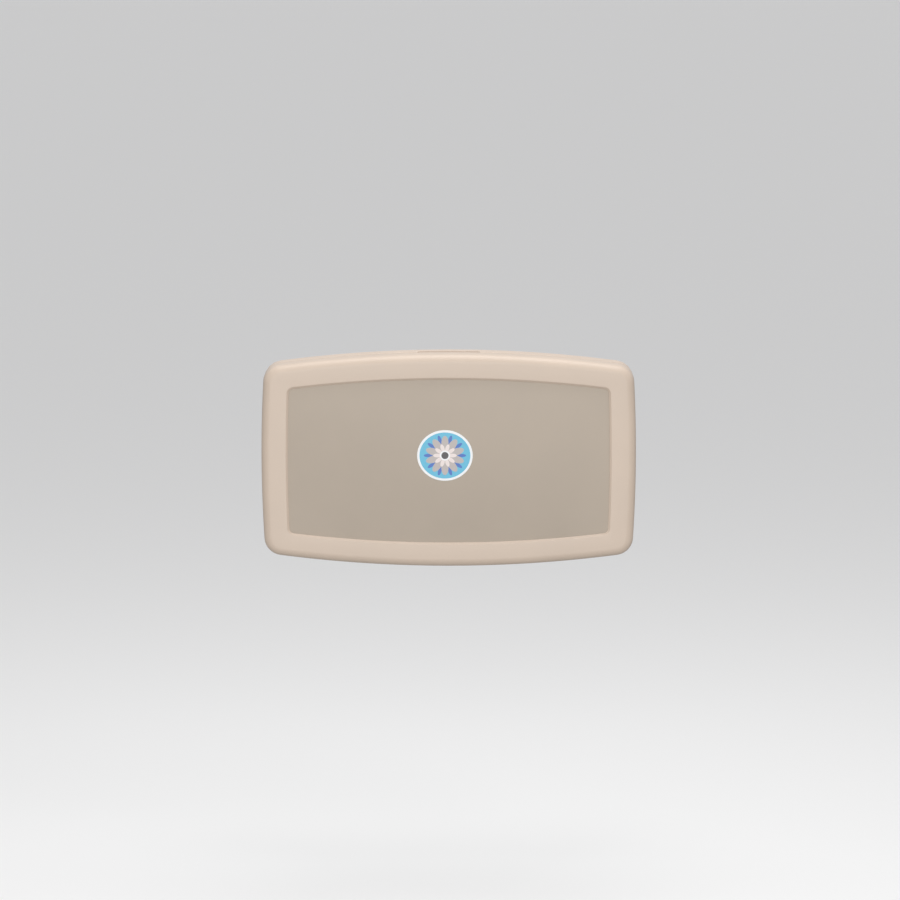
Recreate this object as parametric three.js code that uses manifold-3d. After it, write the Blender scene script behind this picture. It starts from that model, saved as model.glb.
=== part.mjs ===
// Wall-mounted baby changing station, horizontal model, shown closed.
// Millimetres. The pieces are drawn as a front elevation: x to the right, y up and
// z straight out from the wall. One group turns that elevation so that +Z is up.
import * as THREE from "three";
import { mergeVertices } from "three/addons/utils/BufferGeometryUtils.js";
import Module from "manifold-3d";

const wasm = await Module();
wasm.setup();

// Overall size of the closed station.
const WIDTH = 892;
const HEIGHT = 511;
const DEPTH = 102;

// The bowed outline: shallow arcs on all four edges, joined by corner arcs.
const LONG_BOW = 3070;
const SIDE_BOW = 3220;
const CORNER = 45;
const MIN_CORNER = 3;
const LONG_STEPS = 12;
const SIDE_STEPS = 6;
const CORNER_STEPS = 4;

// Walls, sheet steel and clearances.
const WALL = 4;
const SHEET = 3;
const SEAT = 0.3;
const RUNNING = 0.4;

// Bed: front shell, inlay panel, oval plaque and concave tray.
const BED_BACK = 46;
const PARTING = 54;
const RIM_ROUND = 6;
const EDGE_ROUND = 20;
const SIDE_LEAN = 1.5;
const RIM_SIDE = 64;
const RIM_LONG = 60;
const PANEL_LONG_BOW = 3090;
const PANEL_SIDE_BOW = 4590;
const PANEL_CORNER = 12;
const PANEL_SUNK = 4.5;
const PANEL_THICK = 2.5;
const PANEL_CLEARANCE = 0.4;
const RECESS_ROUND = 4;
const LABEL_WIDTH = 132;
const LABEL_HEIGHT = 121.5;
const LABEL_X = -9;
const LABEL_Y = 14;
const LABEL_THICK = 0.8;
const BOWL_RIM_SIDE = 74;
const BOWL_RIM_TOP = 44;
const BOWL_RIM_HINGE = 46;
const BOWL_CORNER = 130;
const BOWL_DEPTH = 30;
const BOWL_SLOPE = 110;
const BOWL_STEPS = 6;

// Wall unit: moulded housing, steel plate behind it and what holds them together.
const HOUSING_BACK = 0.5;
const HOUSING_FRONT = 44;
const HOUSING_ROUND = 6;
const RIB_THICK = 3;
const RIB_BACK = 14;
const RIB_INSETS = [86, 146];
const SCOOP_RADIUS = 12;
const SCOOP_LENGTH = 150;
const PLATE_WIDTH = 580;
const PLATE_TOP = 170;
const STUD_PITCH = 406.4;
const SCREW_HOLE = 4.5;
const SCREW_ROWS = [140, -100];
const LIGHTENING_RADIUS = 32;
const LIGHTENING_X = [-110, 110];
const LIGHTENING_Y = [100, -95];
const STANDOFF_X = 165;
const STANDOFF_ROWS = [140, -90];
const STANDOFF_RADIUS = 7;
const SCREW_RADIUS = 2.4;
const SCREW_HEAD = 5.5;
const SCREW_REACH = 20;
const BUMPER_RADIUS = 9;
const BUMPER_X = 260;
const BUMPER_FROM_TOP = 34;
const BUMPER_FROM_SIDE = 38;
const BUMPER_LOW = -120;

// Full-length steel hinge at the foot of the unit.
const HINGE_RISE = 43.5;
const HINGE_Z = 50;
const HINGE_END = 116;
const KNUCKLES = 11;
const KNUCKLE_RADIUS = 8;
const KNUCKLE_GAP = 0.6;
const ROD_RADIUS = 5;
const ROD_CAP_RADIUS = 7.5;
const ROD_CAP_LENGTH = 5;
const GROOVE_CLEARANCE = 1.8;
const WALL_LEAF_RISE = 48;
const BED_LEAF_RISE = 40;
const BED_LEAF_Z = 55;

// Gas spring, pushed up by a lever on the bed as it comes down.
const CRANK_KNUCKLE = 9;
const CRANK_WIDTH = 10;
const CRANK_HUB = 8.5;
const CRANK_REACH = 22;
const CRANK_NOSE = 6;
const CRANK_ARM = 3;
const CRANK_TAIL = { z: 14, y: 22 };
const CRANK_TAIL_RADIUS = 5;
const FOOT_WIDTH = 24;
const FOOT_THICK = 5;
const FOOT_LAP = 1;
const GAS_RADIUS = 10;
const GAS_WALL = 1.6;
const GAS_LENGTH = 140;
const GAS_RISE = 44;
const GAS_GLAND = 10;
const GAS_ROD_RADIUS = 4;
const GAS_ROD_LENGTH = 110;
const PISTON_THICK = 8;
const STUD_RADIUS = 4;
const STUD_LENGTH = 12;
const NUT_RADIUS = 8;
const NUT_HEIGHT = 6;
const BRACKET_WIDTH = 36;
const BRACKET_HEIGHT = 34;
const SADDLE_UP = 26;

// Liner dispenser: bin behind the housing, cover sliding up between two rails.
const BIN_WIDTH = 280;
const BIN_HEIGHT = 112;
const BIN_WALL = 3;
const BIN_BACK = 8;
const BIN_FLANGE = 6;
const COVER_LAP = 8;
const COVER_THICK = 2.5;
const COVER_TRAVEL = 100;
const COVER_FROM_RIM = 45;
const SLOT_WIDTH = 170;
const SLOT_HEIGHT = 24;
const GRIP_WIDTH = 70;
const GRIP_RIBS = 3;
const GRIP_PITCH = 6;
const GRIP_RIB = 2.4;
const RAIL_WIDTH = 10;
const RAIL_LIP = 5;
const RAIL_LIP_THICK = 2;
const STOP_HEIGHT = 6;

// Recessed bag hooks in the sides of the wall unit.
const HOOK_POCKET_DEPTH = 32;
const HOOK_POCKET_Y = [30, 110];
const HOOK_POCKET_Z = [9, 36];
const HOOK_WIDTH = 18;
const HOOK_THICK = 4;
const HOOK_BASE_HEIGHT = 60;
const HOOK_THROAT = 15;
const HOOK_TIP = 26;

// Bed arms, safety strap and buckle.
const ARM_WIDTH = 40;
const ARM_THICK = 4;
const ARM_TOP = 150;
const ARM_FOOT = 30;
const STRAP_WIDTH = 45;
const STRAP_THICK = 2;
const STRAP_SLOT_IN = 40;
const STRAP_SLOT_HEIGHT = 8;
const STRAP_SLOT_SIDE = 2.5;
const STRAP_BAR_RADIUS = 4;
const STRAP_STEPS = 9;
const BUCKLE_WIDTH = 52;
const BUCKLE_LENGTH = 50;
const BUCKLE_THICK = 14;
const BUCKLE_ROUND = 8;
const TONGUE_LENGTH = 20;
const TONGUE_WIDTH = 34;
const TONGUE_THICK = 4;
const TONGUE_GRIP = 18;
const BUTTON_WIDTH = 20;
const BUTTON_LENGTH = 16;
const BUTTON_PROUD = 1.5;
const BUTTON_HEIGHT = 5;
const BUTTON_TRAVEL = 2.5;

// Places that follow from the sizes above.
const TOP = HEIGHT / 2;
const SIDE = WIDTH / 2;
const HINGE_Y = HINGE_RISE - TOP;
const HINGE_HALF = SIDE - HINGE_END;
const KNUCKLE_LENGTH = (2 * HINGE_HALF) / KNUCKLES;
const CRANK_X = (CRANK_KNUCKLE + 0.5) * KNUCKLE_LENGTH - HINGE_HALF;
const ARM_X = CRANK_X - KNUCKLE_LENGTH;
const LEAF_TOP = HINGE_Y + KNUCKLE_RADIUS;
const HOUSING_FOOT = LEAF_TOP + SEAT;
const PANEL_FRONT = DEPTH - PANEL_SUNK;
const RECESS_FLOOR = PANEL_FRONT - PANEL_THICK - SEAT;
const SHELL_BACK = PARTING + SEAT;
const SHELL_FLOOR = RECESS_FLOOR - WALL;
const BOWL_TOP = TOP - BOWL_RIM_TOP;
const BOWL_FOOT = HINGE_Y + BOWL_RIM_HINGE;
const PANEL_BACK = HOUSING_FRONT - WALL;
const COVER_WIDTH = BIN_WIDTH + 2 * COVER_LAP;
const COVER_HEIGHT = BIN_HEIGHT + 2 * COVER_LAP;
const RAIL_TOP = BOWL_TOP - COVER_FROM_RIM;
const RAIL_FOOT = RAIL_TOP - COVER_HEIGHT - COVER_TRAVEL - 2 * SEAT;
const COVER_FOOT = RAIL_FOOT + SEAT;
const COVER_BACK = HOUSING_FRONT + 2 * SEAT;
const COVER_FRONT = COVER_BACK + COVER_THICK;
const BIN_FOOT = COVER_FOOT + COVER_LAP;
const NOSE_OFFSET = CRANK_REACH * Math.SQRT1_2;
const GAS_Z = HINGE_Z - CRANK_REACH + FOOT_LAP;
const FOOT_UNDER = HINGE_Y - NOSE_OFFSET + CRANK_NOSE + SEAT;
const GAS_FOOT = HINGE_Y + GAS_RISE;
const GAS_TOP = GAS_FOOT + GAS_LENGTH;

const BODY = {
  width: WIDTH, height: HEIGHT, middle: 0, longBow: LONG_BOW, sideBow: SIDE_BOW, corner: CORNER,
};
const PANEL = {
  width: WIDTH - 2 * RIM_SIDE, height: HEIGHT - 2 * RIM_LONG, middle: 0,
  longBow: PANEL_LONG_BOW, sideBow: PANEL_SIDE_BOW, corner: PANEL_CORNER,
};
const BOWL = {
  width: WIDTH - 2 * BOWL_RIM_SIDE, height: BOWL_TOP - BOWL_FOOT, middle: (BOWL_TOP + BOWL_FOOT) / 2,
  longBow: LONG_BOW, sideBow: SIDE_BOW, corner: BOWL_CORNER,
};

// Finishes.
const finish = (color, roughness, metalness) => (
  new THREE.MeshStandardMaterial({ color, roughness, metalness })
);
const SAND_PLASTIC = finish(0xd3c2b2, 0.55, 0);
const TAUPE_PANEL = finish(0xb6a89b, 0.6, 0);
const BLUE_LABEL = finish(0x64c6e6, 0.4, 0);
const SHEET_STEEL = finish(0x9da2a6, 0.4, 0.9);
const BRIGHT_STEEL = finish(0xc9ccd0, 0.2, 1);
const BLACK_PAINT = finish(0x26282b, 0.4, 0.3);
const DARK_RUBBER = finish(0x3a3a3c, 0.85, 0);
const GREY_PLASTIC = finish(0x8d8f92, 0.5, 0);
const WEBBING = finish(0x5c6066, 0.9, 0);
const RED_PLASTIC = finish(0xb5312c, 0.45, 0);

// Points of a bowed outline, counterclockwise from the lower right; inset shrinks it evenly.
function bowedOutline(form, inset) {
  const longRadius = form.longBow - inset;
  const sideRadius = form.sideBow - inset;
  const corner = Math.max(form.corner - inset, MIN_CORNER);
  const longDrop = longRadius - (form.height / 2 - inset);
  const sideDrop = sideRadius - (form.width / 2 - inset);
  const apart = Math.hypot(longDrop, sideDrop);
  const toLong = longRadius - corner;
  const toSide = sideRadius - corner;
  const along = (toLong ** 2 - toSide ** 2 + apart ** 2) / (2 * apart);
  const across = Math.sqrt(toLong ** 2 - along ** 2);
  const cx = (across * longDrop - along * sideDrop) / apart;
  const cy = (along * longDrop + across * sideDrop) / apart - longDrop;
  const longTurn = Math.atan2(cy + longDrop, cx);
  const sideTurn = Math.atan2(cy, cx + sideDrop);
  const half = Math.PI;
  const arcs = [
    [-sideDrop, 0, sideRadius, -sideTurn, sideTurn, SIDE_STEPS],
    [cx, cy, corner, sideTurn, longTurn, CORNER_STEPS],
    [0, -longDrop, longRadius, longTurn, half - longTurn, LONG_STEPS],
    [-cx, cy, corner, half - longTurn, half - sideTurn, CORNER_STEPS],
    [sideDrop, 0, sideRadius, half - sideTurn, half + sideTurn, SIDE_STEPS],
    [-cx, -cy, corner, half + sideTurn, half + longTurn, CORNER_STEPS],
    [0, longDrop, longRadius, half + longTurn, 2 * half - longTurn, LONG_STEPS],
    [cx, -cy, corner, 2 * half - longTurn, 2 * half - sideTurn, CORNER_STEPS],
  ];
  return arcs.flatMap(([x, y, radius, from, to, steps]) => (
    new THREE.EllipseCurve(x, y + form.middle, radius, radius, from, to).getPoints(steps).slice(0, -1)
  ));
}

// One station of a moulded section: an outline, how far in from it, and its distance from the wall.
const station = (form, inset, z) => ({ form, inset, z });

// Stations along an arc of the section; the turn is measured from straight inwards, in degrees.
function roundStations(form, inset, z, radius, fromTurn, toTurn, steps) {
  return Array.from({ length: steps + 1 }, (_, i) => {
    const turn = THREE.MathUtils.degToRad(fromTurn + ((toTurn - fromTurn) * i) / steps);
    return station(form, inset + radius * Math.cos(turn), z + radius * Math.sin(turn));
  });
}

// A section carried round its outline and closed at both ends: one moulded shell.
function moulding(stations) {
  const rings = stations.map(({ form, inset }) => bowedOutline(form, inset));
  const count = rings[0].length;
  const positions = rings.flatMap((ring, k) => ring.flatMap((p) => [p.x, p.y, stations[k].z]));
  const index = [];
  for (let k = 0; k + 1 < rings.length; k += 1) {
    for (let i = 0; i < count; i += 1) {
      const a = k * count + i;
      const b = k * count + ((i + 1) % count);
      index.push(a, b, b + count, a, b + count, a + count);
    }
  }
  const last = (rings.length - 1) * count;
  THREE.ShapeUtils.triangulateShape(rings[0], []).forEach(([a, b, c]) => index.push(a, c, b));
  THREE.ShapeUtils.triangulateShape(rings.at(-1), []).forEach((face) => {
    index.push(...face.map((i) => i + last));
  });
  const geometry = new THREE.BufferGeometry();
  geometry.setAttribute("position", new THREE.Float32BufferAttribute(positions, 3));
  geometry.setIndex(index);
  return geometry;
}

// Solids for cutting and joining.
function toSolid(geometry) {
  const bare = geometry.clone();
  bare.deleteAttribute("normal");
  bare.deleteAttribute("uv");
  const merged = mergeVertices(bare);
  return new wasm.Manifold(new wasm.Mesh({
    numProp: 3,
    vertProperties: merged.attributes.position.array,
    triVerts: new Uint32Array(merged.index.array),
  }));
}

function fromSolid(solid) {
  const { vertProperties, triVerts } = solid.getMesh();
  const geometry = new THREE.BufferGeometry();
  geometry.setAttribute("position", new THREE.Float32BufferAttribute(vertProperties, 3));
  geometry.setIndex(Array.from(triVerts));
  return geometry;
}

const joined = (first, ...rest) => (
  fromSolid(rest.reduce((solid, piece) => solid.add(toSolid(piece)), toSolid(first)))
);
const cut = (first, ...tools) => (
  fromSolid(tools.reduce((solid, tool) => solid.subtract(toSolid(tool)), toSolid(first)))
);
const common = (first, second) => fromSolid(toSolid(first).intersect(toSolid(second)));

// Simple bodies, given by their limits along x, y and z.
function block([x0, x1], [y0, y1], [z0, z1]) {
  return new THREE.BoxGeometry(x1 - x0, y1 - y0, z1 - z0)
    .translate((x0 + x1) / 2, (y0 + y1) / 2, (z0 + z1) / 2);
}

const around = (centre, size) => [centre - size / 2, centre + size / 2];

// Round bars along x, y and z between two limits, at their other two coordinates.
function barX(radius, [x0, x1], y, z, sides = 20) {
  return new THREE.CylinderGeometry(radius, radius, x1 - x0, sides)
    .rotateZ(-Math.PI / 2).translate((x0 + x1) / 2, y, z);
}

function barY(radius, [y0, y1], x, z, sides = 20) {
  return new THREE.CylinderGeometry(radius, radius, y1 - y0, sides).translate(x, (y0 + y1) / 2, z);
}

function barZ(radius, [z0, z1], x, y, sides = 20) {
  return new THREE.CylinderGeometry(radius, radius, z1 - z0, sides)
    .rotateX(Math.PI / 2).translate(x, y, (z0 + z1) / 2);
}

// A front-view shape given a thickness along z.
function plate(shape, [z0, z1], curveSegments = 12) {
  return new THREE.ExtrudeGeometry(shape, { depth: z1 - z0, bevelEnabled: false, curveSegments })
    .translate(0, 0, z0);
}

// A side-view shape, drawn as (z, y), given a length along x.
function sideProfile(shape, [x0, x1], curveSegments = 10) {
  return new THREE.ExtrudeGeometry(shape, { depth: x1 - x0, bevelEnabled: false, curveSegments })
    .rotateY(-Math.PI / 2).translate(x1, 0, 0);
}

// A plan-view shape, drawn as (x, z), given a length along y.
function planProfile(shape, [y0, y1]) {
  return new THREE.ExtrudeGeometry(shape, { depth: y1 - y0, bevelEnabled: false })
    .rotateX(Math.PI / 2).translate(0, y1, 0);
}

const polygon = (...points) => new THREE.Shape(points.map(([x, y]) => new THREE.Vector2(x, y)));

// A rectangle with round corners, centred on x and y.
function roundedRectangle(width, height, radius, x = 0, y = 0) {
  const right = x + width / 2 - radius;
  const left = x - width / 2 + radius;
  const upper = y + height / 2 - radius;
  const lower = y - height / 2 + radius;
  const quarter = Math.PI / 2;
  return new THREE.Shape()
    .absarc(right, lower, radius, -quarter, 0)
    .absarc(right, upper, radius, 0, quarter)
    .absarc(left, upper, radius, quarter, 2 * quarter)
    .absarc(left, lower, radius, 2 * quarter, 3 * quarter);
}

// A lever outline that wraps two circles, drawn as (z, y).
function leverShape(from, fromRadius, to, toRadius) {
  const heading = Math.atan2(to.y - from.y, to.z - from.z);
  const length = Math.hypot(to.y - from.y, to.z - from.z);
  const spread = Math.acos((fromRadius - toRadius) / length);
  return new THREE.Shape()
    .absarc(from.z, from.y, fromRadius, heading + spread, heading - spread + 2 * Math.PI)
    .absarc(to.z, to.y, toRadius, heading - spread, heading + spread);
}

// Bed: front shell with a rounded front edge and a sunk field for the inlay panel.
function bedShell() {
  const edgeInset = SIDE_LEAN + EDGE_ROUND;
  const edgeZ = DEPTH - EDGE_ROUND;
  return moulding([
    station(PANEL, -WALL, SHELL_FLOOR),
    station(PANEL, -WALL, DEPTH - WALL),
    ...roundStations(BODY, edgeInset, edgeZ, EDGE_ROUND - WALL, 90, 180, 4),
    station(BODY, WALL, SHELL_BACK),
    station(BODY, 0, SHELL_BACK),
    ...roundStations(BODY, edgeInset, edgeZ, EDGE_ROUND, 180, 90, 6),
    ...roundStations(PANEL, -RECESS_ROUND, DEPTH - RECESS_ROUND, RECESS_ROUND, 90, 0, 3),
    station(PANEL, 0, RECESS_FLOOR),
  ]);
}

function frontPanel() {
  const outline = new THREE.Shape(bowedOutline(PANEL, PANEL_CLEARANCE));
  return plate(outline, [RECESS_FLOOR + SEAT, PANEL_FRONT]);
}

function frontLabel() {
  const oval = new THREE.Shape()
    .absellipse(LABEL_X, LABEL_Y, LABEL_WIDTH / 2, LABEL_HEIGHT / 2, 0, 2 * Math.PI);
  return plate(oval, [PANEL_FRONT + SEAT, PANEL_FRONT + SEAT + LABEL_THICK], 36);
}

// Depth of the tray's bowl below its rim, by distance in from its mouth.
function bowlDepth(inset) {
  return BOWL_DEPTH * THREE.MathUtils.smoothstep(inset, 0, BOWL_SLOPE);
}

function bowlStations(base) {
  return Array.from({ length: BOWL_STEPS + 1 }, (_, k) => {
    const inset = (BOWL_SLOPE * k) / BOWL_STEPS;
    return station(BOWL, inset, base + bowlDepth(inset));
  });
}

const STRAP_SLOT_ROWS = { strap_front: BOWL_TOP - STRAP_SLOT_IN, strap_rear: BOWL_FOOT + STRAP_SLOT_IN };

// Concave tray with a rolled rim, a groove for the hinge, two strap slots and a gap for the lever.
function bedTray() {
  const shell = moulding([
    ...bowlStations(BED_BACK).reverse(),
    ...roundStations(BODY, RIM_ROUND, BED_BACK + RIM_ROUND, RIM_ROUND, 270, 180, 4),
    station(BODY, 0, PARTING),
    station(BODY, WALL, PARTING),
    station(BODY, WALL, BED_BACK + RIM_ROUND),
    station(BODY, RIM_ROUND, BED_BACK + WALL),
    ...bowlStations(BED_BACK + WALL),
  ]);
  const grooveHalf = HINGE_HALF + ROD_CAP_LENGTH + 2 * GROOVE_CLEARANCE;
  const groove = barX(KNUCKLE_RADIUS + GROOVE_CLEARANCE, [-grooveHalf, grooveHalf], HINGE_Y, HINGE_Z, 16);
  const leverGap = block(
    around(CRANK_X, CRANK_WIDTH + 2 * GROOVE_CLEARANCE),
    [HINGE_Y - CRANK_REACH - GROOVE_CLEARANCE, HINGE_Y],
    [BED_BACK - WALL, PARTING + WALL],
  );
  const slots = Object.values(STRAP_SLOT_ROWS).map((y) => block(
    around(0, STRAP_WIDTH + 2 * STRAP_SLOT_SIDE), around(y, STRAP_SLOT_HEIGHT), [BED_BACK, DEPTH],
  ));
  return cut(shell, groove, leverGap, ...slots);
}

// Wall unit: hollow housing, open at the back, with its foot cut straight above the hinge.
function rearHousing() {
  const roundZ = HOUSING_FRONT - HOUSING_ROUND;
  const outside = [
    station(BODY, 0, HOUSING_BACK),
    ...roundStations(BODY, HOUSING_ROUND, roundZ, HOUSING_ROUND, 180, 90, 4),
  ];
  const shell = moulding([
    ...roundStations(BODY, HOUSING_ROUND, roundZ, HOUSING_ROUND - WALL, 90, 180, 2),
    station(BODY, WALL, HOUSING_BACK),
    ...outside,
  ]);
  const envelope = moulding(outside);
  const everywhere = [-WIDTH, WIDTH];
  const below = block(everywhere, [-HEIGHT, HOUSING_FOOT], [-DEPTH, DEPTH]);
  const floorBack = 2 * SHEET + 4 * SEAT;
  const additions = [
    block(everywhere, [HOUSING_FOOT, HOUSING_FOOT + WALL], [floorBack, HOUSING_FRONT]),
    fingerScoop(SCOOP_RADIUS + WALL),
    ...[-1, 1].map((side) => hookPocket(side, WALL)),
    ...[-1, 1].flatMap((side) => RIB_INSETS.map((inset) => housingRib(side * (SIDE - inset)))),
  ].map((piece) => common(piece, envelope));
  const openings = [
    below,
    fingerScoop(SCOOP_RADIUS),
    ...[-1, 1].map((side) => hookPocket(side, 0)),
    block(around(0, BIN_WIDTH), [BIN_FOOT, BIN_FOOT + BIN_HEIGHT], [PANEL_BACK - WALL, DEPTH]),
    ...leverOpenings(),
    ...standoffPlaces().map(([x, y]) => barZ(SCREW_RADIUS + RUNNING, [0, DEPTH], x, y, 12)),
  ];
  return cut(joined(shell, ...additions), ...openings);
}

// Rounded scoop in the top front edge, where fingers reach behind the bed.
function fingerScoop(radius) {
  return new THREE.CapsuleGeometry(radius, SCOOP_LENGTH - 2 * SCOOP_RADIUS, 4, 16)
    .rotateZ(Math.PI / 2).translate(0, TOP, HOUSING_FRONT);
}

// Space for a bag hook in the side of the housing; wall makes it the pocket's outside.
function hookPocket(side, wall) {
  const inner = SIDE - HOOK_POCKET_DEPTH - wall;
  const [y0, y1] = HOOK_POCKET_Y;
  const [z0, z1] = HOOK_POCKET_Z;
  const limits = side < 0 ? [-SIDE - DEPTH, -inner] : [inner, SIDE + DEPTH];
  return block(limits, [y0 - wall, y1 + wall], [z0 - wall, z1 + wall]);
}

// Upright stiffening rib inside the housing.
function housingRib(x) {
  const rows = [HOUSING_FOOT + WALL_LEAF_RISE, TOP];
  return block(around(x, RIB_THICK), rows, [RIB_BACK, HOUSING_FRONT - WALL / 2]);
}

// Where the gas spring's foot and the lever pass through the foot of the housing.
function leverOpenings() {
  const footGap = block(
    around(CRANK_X, FOOT_WIDTH + 4 * GROOVE_CLEARANCE),
    [HOUSING_FOOT - WALL, HOUSING_FOOT + 2 * WALL],
    [GAS_Z - GAS_RADIUS, PANEL_BACK],
  );
  const leverGap = block(
    around(CRANK_X, CRANK_WIDTH + 2 * GROOVE_CLEARANCE),
    [HOUSING_FOOT - WALL, HINGE_Y + NOSE_OFFSET + CRANK_NOSE + GROOVE_CLEARANCE],
    [PANEL_BACK - WALL, DEPTH],
  );
  return [footGap, leverGap];
}

const standoffPlaces = () => STANDOFF_ROWS.flatMap((y) => [[-STANDOFF_X, y], [STANDOFF_X, y]]);

// Steel plate against the wall, with screw holes at stud pitch and lightening holes.
function wallPlate() {
  const sheet = plate(
    roundedRectangle(PLATE_WIDTH, PLATE_TOP - LEAF_TOP + SHEET, WALL, 0, (PLATE_TOP + LEAF_TOP - SHEET) / 2),
    [0, SHEET],
    3,
  );
  const screwHoles = SCREW_ROWS.flatMap((y) => [-1, 1].map((side) => (
    barZ(SCREW_HOLE, [-SHEET, 2 * SHEET], (side * STUD_PITCH) / 2, y, 12)
  )));
  const lightening = LIGHTENING_Y.flatMap((y) => LIGHTENING_X.map((x) => (
    barZ(LIGHTENING_RADIUS, [-SHEET, 2 * SHEET], x, y, 24)
  )));
  return cut(sheet, ...screwHoles, ...lightening);
}

function standoff(x, y) {
  const post = barZ(STANDOFF_RADIUS, [SHEET + SEAT, PANEL_BACK - SEAT], x, y, 12);
  const hole = barZ(SCREW_RADIUS + SEAT, [HOUSING_FRONT - WALL - SCREW_REACH, DEPTH], x, y, 12);
  return cut(post, hole);
}

// Pan-head screw as a revolved profile, its head on the housing's face.
function housingScrew(x, y) {
  const tip = PANEL_BACK - SCREW_REACH + SEAT;
  const under = HOUSING_FRONT + SEAT;
  const profile = [
    [0, tip], [SCREW_RADIUS, tip], [SCREW_RADIUS, under], [SCREW_HEAD, under],
    [SCREW_HEAD, under + 1], [SCREW_HEAD * 0.6, under + 2.4], [0, under + 2.4],
  ];
  return new THREE.LatheGeometry(profile.map(([r, z]) => new THREE.Vector2(r, z)), 12)
    .rotateX(Math.PI / 2).translate(x, y, 0);
}

const bumperPlaces = () => [-1, 1].flatMap((side) => [
  [side * BUMPER_X, TOP - BUMPER_FROM_TOP],
  [side * (SIDE - BUMPER_FROM_SIDE), BUMPER_LOW],
]);

// Low rubber pad that the closed bed's rim rests against.
function bumper(x, y) {
  const under = HOUSING_FRONT + SEAT;
  const top = BED_BACK - SEAT;
  const profile = [
    [0, under], [BUMPER_RADIUS, under], [BUMPER_RADIUS - 0.6, top - 0.3],
    [BUMPER_RADIUS - 1.6, top], [0, top],
  ];
  return new THREE.LatheGeometry(profile.map(([r, z]) => new THREE.Vector2(r, z)), 12)
    .rotateX(Math.PI / 2).translate(x, y, 0);
}

// Knuckle limits along x; even knuckles belong to the wall leaf and odd ones to the bed leaf.
function knuckleSpans(remainder) {
  return Array.from({ length: KNUCKLES }, (_, i) => i)
    .filter((i) => i % 2 === remainder)
    .map((i) => i * KNUCKLE_LENGTH - HINGE_HALF)
    .map((start) => [start + KNUCKLE_GAP / 2, start + KNUCKLE_LENGTH - KNUCKLE_GAP / 2]);
}

const hingeBore = () => (
  barX(ROD_RADIUS + RUNNING, [-WIDTH, WIDTH], HINGE_Y, HINGE_Z, 16)
);

// Angle-section leaf on the wall plate, running forward to its knuckles.
function hingeLeafWall() {
  const back = SHEET + SEAT;
  const reach = HINGE_Z - KNUCKLE_RADIUS - 2 * RUNNING;
  const angle = polygon(
    [back, LEAF_TOP - SHEET], [reach, LEAF_TOP - SHEET], [reach, LEAF_TOP], [back + SHEET, LEAF_TOP],
    [back + SHEET, LEAF_TOP + WALL_LEAF_RISE], [back, LEAF_TOP + WALL_LEAF_RISE],
  );
  const knuckles = knuckleSpans(0).flatMap((span) => [
    barX(KNUCKLE_RADIUS, span, HINGE_Y, HINGE_Z, 16),
    block(span, [LEAF_TOP - SHEET, LEAF_TOP], [reach - SHEET, HINGE_Z]),
  ]);
  const footGap = block(
    around(CRANK_X, FOOT_WIDTH + 4 * GROOVE_CLEARANCE),
    [LEAF_TOP - 2 * SHEET, LEAF_TOP + SHEET],
    [GAS_Z - GAS_RADIUS, HINGE_Z],
  );
  const leaf = sideProfile(angle, [-HINGE_HALF, HINGE_HALF]);
  return cut(joined(leaf, ...knuckles), hingeBore(), footGap);
}

// Flat leaf inside the bed, slotted for the lever.
function hingeLeafBed() {
  const front = BED_LEAF_Z + SHEET;
  const clear = KNUCKLE_RADIUS + RUNNING;
  const strip = block(
    [-HINGE_HALF, HINGE_HALF], [HINGE_Y + clear, HINGE_Y + BED_LEAF_RISE], [BED_LEAF_Z, front],
  );
  const knuckles = knuckleSpans(1).flatMap((span) => [
    barX(KNUCKLE_RADIUS, span, HINGE_Y, HINGE_Z, 16),
    block(span, [HINGE_Y, HINGE_Y + clear + SHEET], [BED_LEAF_Z, front]),
  ]);
  const leverGap = block(
    around(CRANK_X, CRANK_WIDTH + 2 * SEAT),
    [HINGE_Y - 2 * KNUCKLE_RADIUS, HINGE_Y + CRANK_TAIL.y + CRANK_TAIL_RADIUS + SEAT],
    [0, DEPTH],
  );
  return cut(joined(strip, ...knuckles), hingeBore(), leverGap);
}

const hingeRod = () => barX(ROD_RADIUS, [-HINGE_HALF, HINGE_HALF], HINGE_Y, HINGE_Z, 16);

function rodCap(side) {
  const inner = HINGE_HALF + SEAT;
  const limits = side < 0 ? [-inner - ROD_CAP_LENGTH, -inner] : [inner, inner + ROD_CAP_LENGTH];
  return barX(ROD_CAP_RADIUS, limits, HINGE_Y, HINGE_Z, 20);
}

// Lever on the rod: its nose pushes the gas spring up, its tail stands in the bed leaf's slot.
function crankLever() {
  const span = around(CRANK_X, CRANK_WIDTH);
  const hub = { z: HINGE_Z, y: HINGE_Y };
  const nose = { z: HINGE_Z - NOSE_OFFSET, y: HINGE_Y - NOSE_OFFSET };
  const tail = { z: HINGE_Z + CRANK_TAIL.z, y: HINGE_Y + CRANK_TAIL.y };
  const lever = joined(
    barX(CRANK_HUB, span, hub.y, hub.z, 16),
    barX(CRANK_NOSE, span, nose.y, nose.z),
    sideProfile(leverShape(hub, CRANK_ARM, nose, CRANK_ARM), span),
    sideProfile(leverShape(hub, CRANK_ARM, tail, CRANK_TAIL_RADIUS), span),
  );
  return cut(lever, hingeBore());
}

// Foot plate under the gas spring's rod, pushed from below by the lever's nose.
function plungerFoot() {
  const back = GAS_Z - GAS_RADIUS + GROOVE_CLEARANCE;
  const front = HINGE_Z - NOSE_OFFSET + FOOT_LAP;
  const top = FOOT_UNDER + FOOT_THICK;
  const base = block(around(CRANK_X, FOOT_WIDTH), [FOOT_UNDER, top], [back, front]);
  const socket = barY(GAS_ROD_RADIUS + SHEET, [FOOT_UNDER + 1, top + FOOT_THICK], CRANK_X, GAS_Z);
  const hole = barY(GAS_ROD_RADIUS + SEAT, [top, HEIGHT], CRANK_X, GAS_Z, 16);
  return cut(joined(base, socket), hole);
}

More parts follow.
